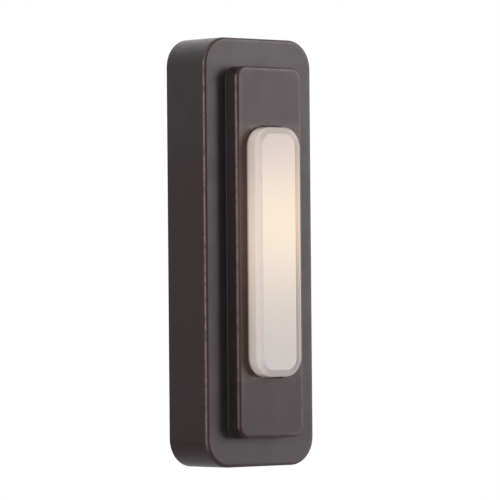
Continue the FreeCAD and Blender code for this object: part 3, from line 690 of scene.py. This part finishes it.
def paint_lens(mesh):
    """Masks for the lens's painted light and shade: the clear facet in front, the wall with its
    base painted dark as the shade of the window, the ends above and below, painted darker, the top,
    the upper left corner, painted lighter, and how far right a place is, for a bevel painted darker
    on the right."""
    facet, wall, foot, right, ends, top, upper_left_painted_light = point_values(
        mesh, "facet", "wall", "foot", "right", "end", "top", "upper_left_painted_light")
    for index, vertex in enumerate(mesh.vertices):
        x, z, depth = vertex.co.x / MM, vertex.co.z / MM, -vertex.co.y / MM
        inside = -outline_distance(x, z, BUTTON)
        if depth > BUTTON_FRONT - 0.01 and outline_distance(x, z, FACET) < 0.02:
            facet[index].value = 1
        over = max(abs(x) - BUTTON[0] / 2 + BUTTON[2], 0)
        above = max(abs(z) - BUTTON[1] / 2 + BUTTON[2], 0)
        end = (above / hypot(over, above)) ** 2 if above > 0 else 0
        ends[index].value = end ** 6 if x < 0 else end
        top[index].value = (end ** 2 if x < 0 else end) if z > 0 else 0
        upper_left_painted_light[index].value = 4 * end * (1 - end) if x < 0 and z > 0 else 0
        rightness = clamped(0.5 + x / (BUTTON[0] - 3))
        right[index].value = rightness + (0.45 - rightness) * end
        wall[index].value = clamped(1 - inside / (0.38 if x < 0 else 0.5))
        foot[index].value = clamped((TIER_FRONT + 0.45 - depth) / 0.9)


def build_button():
    hollow = inset(BUTTON, BUTTON_WALL, 0)[:3]
    flange_bevel = 0.15
    rings = [(*hollow, BUTTON_INSIDE), (*hollow, FLANGE_BACK),
             inset(FLANGE, flange_bevel, FLANGE_BACK),
             inset(FLANGE, 0, FLANGE_BACK + flange_bevel),
             inset(FLANGE, 0, FLANGE_FRONT - flange_bevel),
             inset(FLANGE, flange_bevel, FLANGE_FRONT)]
    rings += [inset(BUTTON, 0, depth) for depth in (
        FLANGE_FRONT, TIER_FRONT - 0.45, TIER_FRONT, TIER_FRONT + 0.45, BUTTON_SHOULDER - 1.2)]
    slope = atan2(BUTTON_FRONT - BUTTON_SHOULDER, (BUTTON[0] - FACET[0]) / 2)
    turn = pi / 2 - slope
    for step in range(9):
        angle = step / 8 * turn
        rings.append(inset(BUTTON, SHOULDER_ROUND * (1 - cos(angle)),
                           BUTTON_SHOULDER - SHOULDER_ROUND * (0.85 - sin(angle))))
    rings += [inset(FACET, -0.12, BUTTON_FRONT - 0.02), inset(FACET, 0, BUTTON_FRONT),
              inset(FACET, 0.12, BUTTON_FRONT), inset(FACET, 1.0, BUTTON_FRONT)]
    button = new_piece("button", lambda shape: skin(shape, rings, False))

    def posts(shape):
        for z in (-POST_PLACE, POST_PLACE):
            turned(shape, [(0, -20.4), (3.0, -20.4), (3.0, -15.15), (1.5, -15.15),
                           (1.5, -8.6), (1.35, -8.45), (0, -8.45)], centre=(0, 0, z))

    def rib(shape):
        cuboid(shape, (-6.2, -20.4, -0.6), (6.2, -15.15, 0.6))

    def striker(shape):
        turned(shape, [(0, -20.4), (1.6, -20.4), (1.6, -13.1), (1.5, -13.0), (0, -13.0)])

    for part in (posts, rib, striker):
        combined(button, new_piece("tool", part), "UNION")
    smoothed(button, 30)
    paint_lens(button.data)
    covered(button, lit_lens())
    placed(button, "button", "lit_lens", "push_button")


# Pressed, sawn and moulded pieces: the node's own shape with its edges broken by this much

EDGES = {"back_plate": 0.2, "button_carrier": 0.15, "circuit_board": 0.05, "switch_base": 0.1,
         "switch_cover": 0.06, "switch_pins": 0.08, "led_leads": 0.06, "rectifier_diodes": 0.12,
         "terminal_plate_left": 0.12, "terminal_plate_right": 0.12}


def edged_copy(node, width):
    """A copy of a node's mesh with its faces merged and its sharp edges broken."""
    shape = bmesh.new()
    shape.from_mesh(frame["nodes"][node].data)
    bmesh.ops.remove_doubles(shape, verts=shape.verts, dist=1e-6)
    bmesh.ops.dissolve_limit(shape, angle_limit=radians(1.0), verts=shape.verts,
                             edges=shape.edges)
    sharp = [edge for edge in shape.edges
             if edge.is_manifold and edge.calc_face_angle(0) > radians(30)]
    bmesh.ops.bevel(shape, geom=sharp, offset=width * MM, offset_type="OFFSET", segments=2,
                    profile=0.5, affect="EDGES", clamp_overlap=True)
    mesh = bpy.data.meshes.new(node + "_edged")
    shape.to_mesh(mesh)
    shape.free()
    piece = bpy.data.objects.new(node + "_edged", mesh)
    bpy.context.scene.collection.objects.link(piece)
    smoothed(piece)
    return piece


def dress_nodes(materials):
    slots = {part["node"]: part["material_slot"] for part in frame["record"]["subparts"]}
    for node, slot in slots.items():
        if slot in materials:
            covered(frame["nodes"][node], materials[slot])
    for node, width in EDGES.items():
        piece = edged_copy(node, width)
        covered(piece, materials[slots[node]])
        placed(piece, "housing", slots[node], node)


# Pieces that repeat or are wound, through Geometry Nodes

def add_node(tree, kind, **values):
    """A node with its named inputs linked or set."""
    node = tree.nodes.new(kind)
    for name, value in values.items():
        name = name.replace("_", " ")
        socket = next(s for s in node.inputs if s.name == name and s.enabled)
        if isinstance(value, bpy.types.NodeSocket):
            tree.links.new(value, socket)
        else:
            socket.default_value = value
    return node


def new_tree(name, *inputs):
    tree = bpy.data.node_groups.new(name, "GeometryNodeTree")
    tree.interface.new_socket("Geometry", in_out="INPUT", socket_type="NodeSocketGeometry")
    for socket, kind in inputs:
        tree.interface.new_socket(socket, in_out="INPUT", socket_type="NodeSocket" + kind)
    tree.interface.new_socket("Geometry", in_out="OUTPUT", socket_type="NodeSocketGeometry")
    return tree, tree.nodes.new("NodeGroupInput").outputs


def close_tree(tree, geometry, finish):
    real = add_node(tree, "GeometryNodeRealizeInstances", Geometry=geometry)
    painted = add_node(tree, "GeometryNodeSetMaterial", Geometry=real.outputs[0], Material=finish)
    tree.links.new(painted.outputs[0], tree.nodes.new("NodeGroupOutput").inputs[0])
    return tree


def copies_tree():
    """The template on every point, each turned by chance about the Y axis."""
    tree, given = new_tree("copies_on_points", ("Template", "Object"), ("Most Turn", "Float"),
                           ("Finish", "Material"))
    template = add_node(tree, "GeometryNodeObjectInfo", Object=given["Template"])
    turn = add_node(tree, "FunctionNodeRandomValue", Min=0.0, Max=given["Most Turn"], Seed=5)
    angles = add_node(tree, "ShaderNodeCombineXYZ", Y=turn.outputs[1])
    placed_copies = add_node(tree, "GeometryNodeInstanceOnPoints", Points=given["Geometry"],
                             Instance=template.outputs["Geometry"], Rotation=angles.outputs[0])
    return close_tree(tree, placed_copies.outputs[0], given["Finish"])


def spring_tree():
    """Round wire wound with open turns between two closed end turns, along +Y."""
    tree, given = new_tree("wound_spring", ("Coil Radius", "Float"), ("Wire Radius", "Float"),
                           ("Length", "Float"), ("Turns", "Float"), ("Finish", "Material"))

    def number(operation, first, second):
        node = tree.nodes.new("ShaderNodeMath")
        node.operation = operation
        for socket, value in zip(node.inputs, (first, second)):
            if isinstance(value, bpy.types.NodeSocket):
                tree.links.new(value, socket)
            else:
                socket.default_value = value
        return node.outputs[0]

    def rise_over(start, end, height):
        return add_node(tree, "ShaderNodeMapRange", Value=along, From_Min=start, From_Max=end,
                        To_Min=0.0, To_Max=height).outputs[0]

    spiral = add_node(tree, "GeometryNodeCurveSpiral", Resolution=28, Rotations=given["Turns"],
                      Start_Radius=given["Coil Radius"], End_Radius=given["Coil Radius"],
                      Height=0.001)
    along = tree.nodes.new("GeometryNodeSplineParameter").outputs["Factor"]
    one_turn = number("DIVIDE", 1.0, given["Turns"])
    last_turn = number("SUBTRACT", 1.0, one_turn)
    wire = number("MULTIPLY", given["Wire Radius"], 2.0)
    open_rise = number("SUBTRACT", given["Length"], number("MULTIPLY", wire, 3.0))
    wound_so_far = number("ADD", rise_over(0.0, one_turn, wire),
                          rise_over(one_turn, last_turn, open_rise))
    rise = number("ADD", wound_so_far,
                  number("ADD", rise_over(last_turn, 1.0, wire), given["Wire Radius"]))
    corner = add_node(tree, "ShaderNodeSeparateXYZ",
                      Vector=tree.nodes.new("GeometryNodeInputPosition").outputs[0])
    lifted = add_node(tree, "ShaderNodeCombineXYZ", X=corner.outputs["X"],
                      Y=corner.outputs["Y"], Z=rise)
    line = add_node(tree, "GeometryNodeSetPosition", Geometry=spiral.outputs[0],
                    Position=lifted.outputs[0])
    ring = add_node(tree, "GeometryNodeCurvePrimitiveCircle", Resolution=10,
                    Radius=given["Wire Radius"])
    wound = add_node(tree, "GeometryNodeCurveToMesh", Curve=line.outputs[0],
                     Profile_Curve=ring.outputs[0], Fill_Caps=True)
    laid = add_node(tree, "GeometryNodeTransform", Geometry=wound.outputs[0],
                    Rotation=(-pi / 2, 0, 0))
    return close_tree(tree, laid.outputs[0], given["Finish"])


def grown(name, tree, places, values):
    """A plain mesh from a node tree that is given some points and its inputs by name."""
    piece = new_piece(name, lambda shape: [shape.verts.new(place) for place in places])
    modifier = piece.modifiers.new("grow", "NODES")
    modifier.node_group = tree
    for item in tree.interface.items_tree:
        if item.item_type == "SOCKET" and item.in_out == "INPUT" and item.name in values:
            modifier[item.identifier] = values[item.name]
    settle(piece)
    smoothed(piece)
    return piece


def repeated(name, tree, template, places, material, turn):
    """Copies of a template, which is then removed, each turned by up to this much."""
    piece = grown(name, tree, places, {"Template": template, "Most Turn": turn,
                                       "Finish": material})
    bpy.data.objects.remove(template)
    return piece


# Screws and springs

def thread(shape, radius, length, pitch):
    """A threaded shank from the origin along -Y, with a bevelled end."""
    around, rows = 28, round(length / pitch * 7)
    depth = pitch * 0.42
    rings = []
    for row in range(rows + 1):
        down = length * row / rows
        ring = []
        for step in range(around):
            phase = (down / pitch + step / around) % 1
            crest = radius - depth * min(abs(2 * phase - 1) * 1.25, 1)
            reach = min(crest, radius - depth * 1.2 + (length - down) * 1.2)
            angle = tau * step / around
            ring.append(shape.verts.new((reach * cos(angle), -down, reach * sin(angle))))
        rings.append(ring)
    for ring, after in zip(rings, rings[1:]):
        for step in range(around):
            following = (step + 1) % around
            shape.faces.new((ring[step], ring[following], after[following], after[step]))
    shape.faces.new(rings[0])
    shape.faces.new(rings[-1])


def screw(name, head, height, radius, length, pitch):
    """A slotted round-head screw: head towards +Y, its seat at the origin."""
    def crown(shape):
        turned(shape, [(0, height), (0.45 * head, 0.98 * height), (0.74 * head, 0.86 * height),
                       (0.92 * head, 0.62 * height), (0.99 * head, 0.34 * height), (head, 0.1),
                       (0.97 * head, 0.0), (0, 0.0)], steps=48)

    def driver_slot(shape):
        cuboid(shape, (-head - 1, height - 0.6, -0.35), (head + 1, height + 1, 0.35))

    piece = new_piece(name, crown)
    combined(piece, new_piece("tool", driver_slot), "DIFFERENCE")
    shank = new_piece("shank", lambda shape: thread(shape, radius, length, pitch))
    joined = bmesh.new()
    joined.from_mesh(piece.data)
    joined.from_mesh(shank.data)
    joined.to_mesh(piece.data)
    joined.free()
    bpy.data.objects.remove(shank)
    return piece


def add_fasteners(copies, materials):
    """Each screw's sizes are its head's radius and height and its shank's radius, length and
    pitch. The carrier's back is level with the board's front."""
    across, height = TERMINAL_PLACE
    for kind, sizes, places in (
            ("carrier_screw", (1.9, 1.3, 0.97, 5.0, 0.62),
             [(0, -BOARD_FRONT, z) for z in (-BOSS_PLACE, BOSS_PLACE)]),
            ("board_screw", (1.9, 1.2, 0.97, 3.4, 0.62),
             [(0, -BOARD_BACK, z) for z in (-BOARD_SCREW_PLACE, BOARD_SCREW_PLACE)]),
            ("terminal_screw", (2.5, 1.6, 1.42, 3.9, 0.5),
             [(x, -TERMINAL_BACK, height) for x in (-across, across)])):
        heads = repeated(kind + "_heads", copies, screw(kind, *sizes), places,
                         materials["zinc_plated_steel"], pi)
        placed(heads, "housing", "zinc_plated_steel", kind + "s")
    lower = screw("set_screw_slotted", 2.7, 0.9, 1.42, 4.0, 0.5)
    lower.data.transform(Matrix.Translation((0, -SET_SCREW_DEPTH * MM, -51.5 * MM))
                         @ Matrix.Rotation(-pi / 2, 4, "X"))
    smoothed(lower)
    covered(lower, materials["bronzed_screw"])
    placed(lower, "housing", "bronzed_screw", "set_screw")


def add_springs(materials):
    tree = spring_tree()
    values = {"Coil Radius": 2.65 * MM, "Wire Radius": 0.2 * MM, "Length": 5.6 * MM,
              "Turns": 7.0, "Finish": materials["spring_steel"]}
    for side, z in (("top", POST_PLACE), ("bottom", -POST_PLACE)):
        spring = grown("coil_" + side, tree, [(0, 0, 0)], values)
        spring.data.transform(Matrix.Translation((0, -15.13 * MM, z * MM)))
        placed(spring, "housing", "spring_steel", "return_spring_" + side)
        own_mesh(spring)


# Switch and lamp

def add_switch(materials):
    dome_radius, dome_front, dome_back = 2.1, 8.8, 8.7

    def sheet(shape):
        radii = [dome_radius * step / 14 for step in range(15)]
        rises = [1 - (r / dome_radius) ** 2 for r in radii]
        over = [(r, -dome_front - rise) for r, rise in zip(radii, rises)]
        under = [(r, -dome_back - rise) for r, rise in zip(radii, rises)]
        turned(shape, over + under[::-1], steps=48)

    def plunger(shape):
        turned(shape, [(0, -12.95), (1.25, -12.95), (1.4, -12.91), (1.5, -12.84),
                       (1.57, -12.7), (1.62, -10.65), (1.8, -10.65), (1.9, -10.6),
                       (1.95, -10.5), (1.95, -9.95), (1.85, -9.85), (0.9, -9.85), (0.8, -9.95),
                       (0, -9.95)], steps=48)

    dome = new_piece("snap_dome", sheet)
    smoothed(dome)
    covered(dome, materials["spring_steel"])
    placed(dome, "housing", "spring_steel", "switch_dome")
    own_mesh(dome)
    stem = new_piece("plunger_stem", plunger)
    smoothed(stem)
    covered(stem, materials["plunger_moulding"])
    placed(stem, "plunger", "plunger_moulding", "switch_plunger")


def add_lamp(materials):
    def bulb(shape):
        turned(shape, [(0, -13.2), (1.12, -13.2), (1.3, -13.16), (1.42, -13.06), (1.48, -12.9),
                       (1.5, -12.6), (1.5, -9.6), (1.78, -9.6), (1.87, -9.56), (1.9, -9.47),
                       (1.9, -8.75), (1.82, -8.6), (0, -8.6)], centre=(0, 0, LAMP_PLACE),
               steps=48)

    lamp = new_piece("lamp_bulb", bulb)
    smoothed(lamp)
    covered(lamp, materials["lamp_epoxy"])
    placed(lamp, "housing", "lamp_epoxy", "led_lamp")


# Circuit board

# Copper lines on each side of the board, as width and (across, along the height) points
FRONT_TRACKS = (
    (1.0, ((-4.2, -9.6), (-4.2, -6.8), (-2.6, -6.8))),
    (0.7, ((2.6, -6.8), (5.0, -4.4), (5.0, -2.25), (3.9, -2.25))),
    (0.7, ((3.9, 2.25), (5.6, 3.9), (5.6, 12.2), (3.4, 12.2))),
    (0.7, ((-3.4, 12.2), (-5.4, 12.2), (-5.4, 15.8), (-2.6, 15.8))),
    (0.7, ((2.6, 15.8), (6.4, 15.8), (6.4, 18.6))),
)
BACK_TRACKS = (
    (1.0, ((4.2, -9.4), (4.2, -4.0), (1.27, -1.0), (1.27, 6.5))),
    (1.0, ((-4.2, -9.4), (-4.2, 3.6), (-1.27, 6.5))),
    (0.6, ((-6.4, -8.6), (-6.4, 9.0), (-2.0, 13.4), (2.0, 13.4), (6.4, 17.0), (6.4, 18.6))),
    (0.6, ((6.4, -8.6), (6.4, 10.6), (4.6, 12.4))),
)
VIAS = ((6.4, 18.6), (4.6, 12.4), (-6.4, -8.6), (6.4, -8.6), (-4.2, -8.9), (4.2, -8.9))
LEAD_SIDES = (-1.27, 1.27)
PIN_HEIGHTS = (-2.25, 2.25)


def track(shape, points, width, face, out):
    """A raised copper line under the solder mask, on the board's face at this Y."""
    under = face - out * 0.05
    for number, (start, end) in enumerate(zip(points, points[1:])):
        over = face + out * (0.036 + 0.003 * (number % 2))
        run = Vector((end[0] - start[0], end[1] - start[1]))
        across = Vector((-run.y, run.x)).normalized() * width / 2
        corners = [(Vector(place) + across * sign)
                   for place, sign in ((start, 1), (start, -1), (end, -1), (end, 1))]
        bottom = [shape.verts.new((corner.x, under, corner.y)) for corner in corners]
        top = [shape.verts.new((corner.x, over, corner.y)) for corner in corners]
        shape.faces.new(bottom)
        shape.faces.new(top)
        for index in range(4):
            after = (index + 1) % 4
            shape.faces.new((bottom[index], bottom[after], top[after], top[index]))
    cap = face + out * 0.042
    for x, z in points:
        turned(shape, [(0, under), (width / 2, under), (width / 2, cap), (0, cap)],
               centre=(x, 0, z), steps=16)


def add_tracks(materials):
    def tracks(shape):
        for width, points in FRONT_TRACKS:
            track(shape, points, width, -BOARD_FRONT, -1)
        for width, points in BACK_TRACKS:
            track(shape, points, width, -BOARD_BACK, 1)

    copper = new_piece("board_tracks", tracks)
    smoothed(copper)
    covered(copper, materials["board_tracks"])
    placed(copper, "housing", "board_laminate")


def add_solder(copies, tin):
    """Tinned pads, solder on the switch's pins, the diodes, the resistor and the lamp's leads,
    and rings in the holes that join the two sides of the board."""
    def pads(shape):
        places = [((x, z), (0.75, 0.6)) for x in (-3.8, 3.8) for z in PIN_HEIGHTS]
        places += [((x, z), (0.8, 0.95)) for z in DIODE_PLACES for x in (-2.5, 2.5)]
        places += [((x, RESISTOR_PLACE), (0.6, 1.6)) for x in (-3.3, 3.3)]
        for (x, z), (wide, high) in places:
            cuboid(shape, (x - wide, -BOARD_FRONT - 0.04, z - high),
                   (x + wide, -BOARD_FRONT + 0.05, z + high))

    def mound(shape):
        turned(shape, [(0, -0.42), (0.18, -0.4), (0.34, -0.31), (0.48, -0.19), (0.6, -0.08),
                       (0.72, 0), (0.72, 0.05), (0, 0.05)], steps=24)

    def cone(shape):
        turned(shape, [(0, -0.05), (0.95, -0.05), (0.95, 0), (0.74, 0.1), (0.52, 0.26),
                       (0.4, 0.46), (0.34, 0.66), (0.24, 0.74), (0, 0.76)], steps=24)

    def ring(shape):
        turned(shape, [(0, -0.04), (0.42, -0.04), (0.47, 0), (0.42, 0.05), (0.2, 0.03),
                       (0.16, -0.02), (0, -0.02)], steps=20)

    flats = new_piece("board_pads", pads)
    covered(flats, tin)
    placed(flats, "housing", "tinned_wire")
    on_front = [(x, z) for x in (-3.95, 3.95) for z in PIN_HEIGHTS]
    on_front += [(x, z) for x in (-2.75, 2.75) for z in DIODE_PLACES]
    on_front += [(x, RESISTOR_PLACE + above) for x in (-3.3, 3.3) for above in (-0.9, 0.9)]
    leads = [(x, LAMP_PLACE) for x in LEAD_SIDES]
    for name, build, depth, places in (("solder_mounds", mound, BOARD_FRONT, on_front),
                                       ("solder_cones", cone, BOARD_BACK, leads),
                                       ("board_vias", ring, BOARD_BACK, VIAS)):
        piece = repeated(name, copies, new_piece("template", build),
                         [(x, -depth, z) for x, z in places], tin, tau)
        placed(piece, "housing", "tinned_wire")


def add_resistor(materials):
    def caps(shape):
        for low, high in ((-3.15, -2.55), (2.55, 3.15)):
            cuboid(shape, (low, -8.1, RESISTOR_PLACE - 1.6),
                   (high, -BOARD_FRONT, RESISTOR_PLACE + 1.6))

    def body(shape):
        cuboid(shape, (-2.7, -8.06, RESISTOR_PLACE - 1.57),
               (2.7, -BOARD_FRONT, RESISTOR_PLACE + 1.57))

    ends = new_piece("resistor_caps", caps)
    softened(ends, 0.08)
    covered(ends, materials["tinned_wire"])
    placed(ends, "housing", "tinned_wire")
    chip = new_piece("resistor_body", body)
    softened(chip, 0.05)
    covered(chip, materials["resistor_lacquer"])
    placed(chip, "housing", "resistor_lacquer", "led_resistor")


# Floor, lights and background

def light_panel(name, place, size, strength, color=(1, 1, 1)):
    """An area light that faces the object; strength is the brightness of its surface."""
    data = bpy.data.lights.new(name, "AREA")
    data.shape = "RECTANGLE"
    data.size, data.size_y = size
    data.energy = strength * size[0] * size[1] * pi
    data.color = color
    light = bpy.data.objects.new(name, data)
    light.location = place
    light.rotation_euler = Vector(place).to_track_quat("Z", "Y").to_euler()
    bpy.context.scene.collection.objects.link(light)


def set_background(scene):
    """A world that is white where it is seen, directly or in gloss, and lights more softly."""
    world = bpy.data.worlds.new("studio")
    scene.world = world
    world.use_nodes = True
    tree = world.node_tree
    background = tree.nodes["Background"]
    background.inputs["Color"].default_value = (1, 1, 1, 1)
    rays = tree.nodes.new("ShaderNodeLightPath").outputs
    seen = rays["Is Camera Ray"]
    for kind in ("Is Glossy Ray", "Is Transmission Ray"):
        either = tree.nodes.new("ShaderNodeMath")
        either.operation = "MAXIMUM"
        tree.links.new(seen, either.inputs[0])
        tree.links.new(rays[kind], either.inputs[1])
        seen = either.outputs[0]
    level = tree.nodes.new("ShaderNodeMapRange")
    level.inputs["To Min"].default_value = WORLD_LIGHT
    level.inputs["To Max"].default_value = 1.0
    tree.links.new(seen, level.inputs["Value"])
    tree.links.new(level.outputs["Result"], background.inputs["Strength"])


def set_stage():
    scene = bpy.context.scene
    scene.view_settings.view_transform = "Standard"
    set_background(scene)
    floor = new_piece("floor", lambda shape: cuboid(shape, (-2500, -2500, -310),
                                                    (2500, 2500, -300)))
    covered(floor, mottled("pale_floor", (0.84, 0.84, 0.84), (0.88, 0.88, 0.88), 0.8, 300.0,
                           peel=0.05, peel_grain=5.0).material)
    light_panel("key", (0.69, -0.66, 0.34), (0.55, 0.95), 5.6)
    light_panel("side_strip", (-0.91, -0.38, 0.1), (0.38, 0.8), 3.8)
    light_panel("top_back", (0.2, 0.7, 0.66), (1.0, 0.6), 0.7, (1.0, 0.88, 0.98))


place_camera()
build_housing()
build_button()
materials = inner_materials()
dress_nodes(materials)
copies = copies_tree()
add_fasteners(copies, materials)
add_springs(materials)
add_switch(materials)
add_lamp(materials)
add_tracks(materials)
add_solder(copies, materials["tinned_wire"])
add_resistor(materials)
set_stage()
